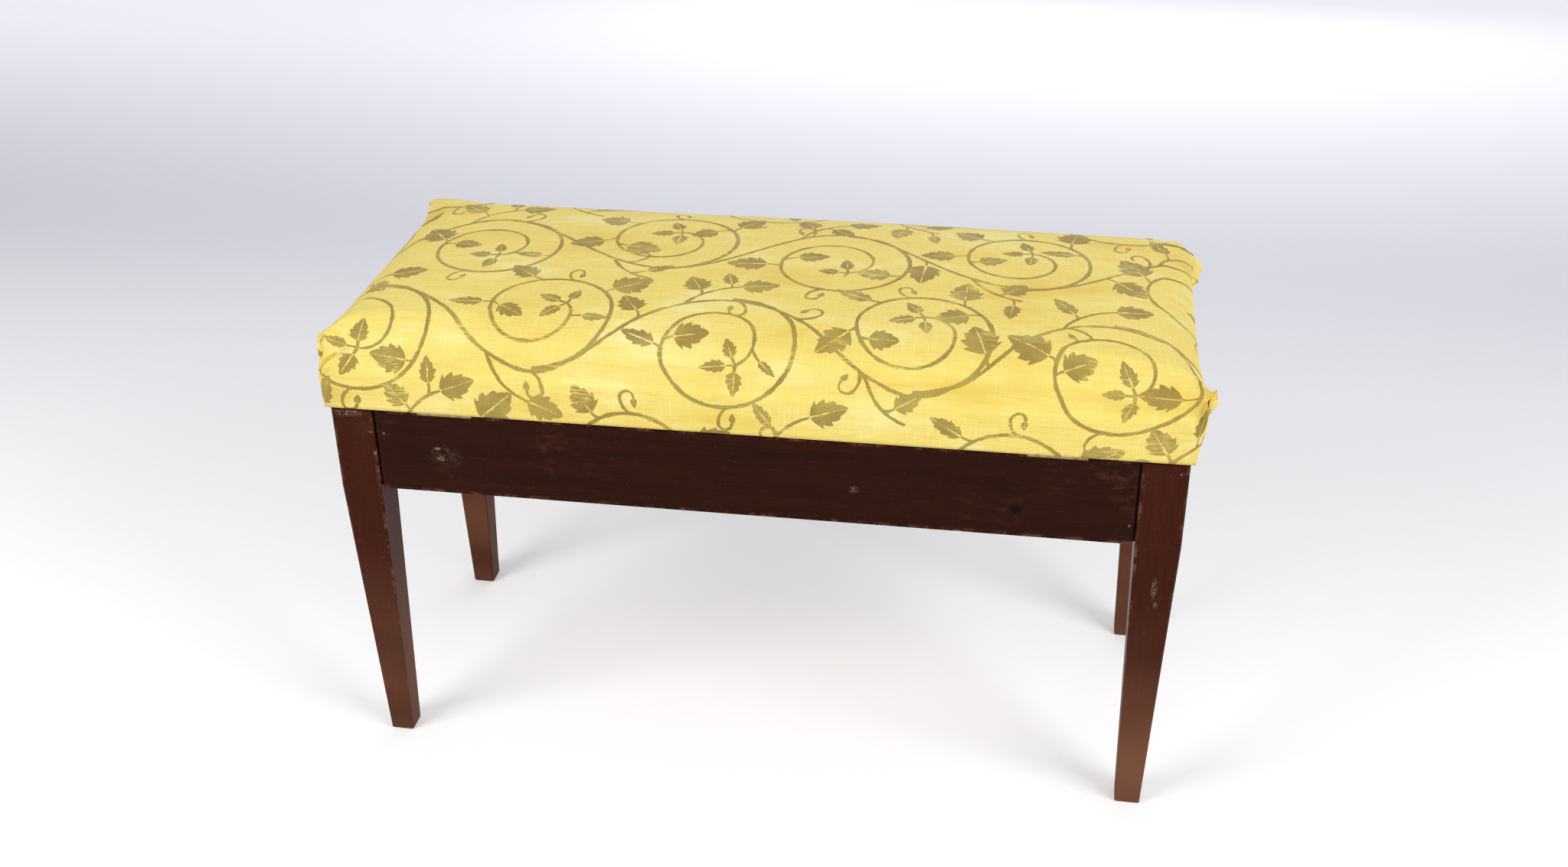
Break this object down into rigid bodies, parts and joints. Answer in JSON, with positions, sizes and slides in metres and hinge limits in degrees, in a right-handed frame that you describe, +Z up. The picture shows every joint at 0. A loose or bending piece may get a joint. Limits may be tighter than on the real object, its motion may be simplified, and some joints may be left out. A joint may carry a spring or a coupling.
{
  "type": "piano stool",
  "caption": "Long wooden piano stool with square tapered legs and a padded fabric lid that hinges up over a shallow music compartment.",
  "frame": {"origin": "on the floor, under the middle of the stool", "axes": "+X along the length, -Y towards the side with the hinges, +Z up"},
  "size_m": [0.92, 0.396, 0.55],
  "materials": {
    "mahogany": "dark red-brown stain under a worn gloss varnish",
    "pine": "raw planed softwood",
    "plywood": "raw veneer, aged",
    "brass": "dull, tarnished",
    "steel": "blued, dull",
    "felt": "pressed wool felt",
    "stuffing": "cotton wadding",
    "cover_cloth": "yellow slub weave printed with a khaki scrolling vine",
    "lining_cloth": "black plain-weave cotton"
  },
  "bodies": {
    "stand": {"leg_hinge_side_left": "mahogany", "leg_hinge_side_right": "mahogany", "leg_opening_side_left": "mahogany", "leg_opening_side_right": "mahogany", "rail_hinge_side": "mahogany", "rail_opening_side": "mahogany", "rail_left_end": "mahogany", "rail_right_end": "mahogany", "ledger_hinge_side": "pine", "ledger_opening_side": "pine", "ledger_left_end": "pine", "ledger_right_end": "pine", "compartment_floor": "plywood", "floor_brads": "steel", "felt_pads": "felt", "hinge_left_rail_leaf": "brass", "hinge_left_pin": "brass", "hinge_right_rail_leaf": "brass", "hinge_right_pin": "brass", "hinge_screws_rail": "brass"},
    "lid": {"lid_rail_hinge_side": "pine", "lid_rail_opening_side": "pine", "lid_rail_left_end": "pine", "lid_rail_right_end": "pine", "seat_board": "plywood", "stuffing": "stuffing", "seat_cover": "cover_cloth", "lid_lining": "lining_cloth", "lining_tacks": "steel", "hinge_left_lid_leaf": "brass", "hinge_right_lid_leaf": "brass", "hinge_screws_lid": "brass"}
  },
  "joints": [
    {"name": "lid_hinge", "type": "hinge", "parent": "stand", "child": "lid", "pos_m": [0, -0.187, 0.44175], "axis": [1, 0, 0], "range_deg": [0, 95]}
  ]
}
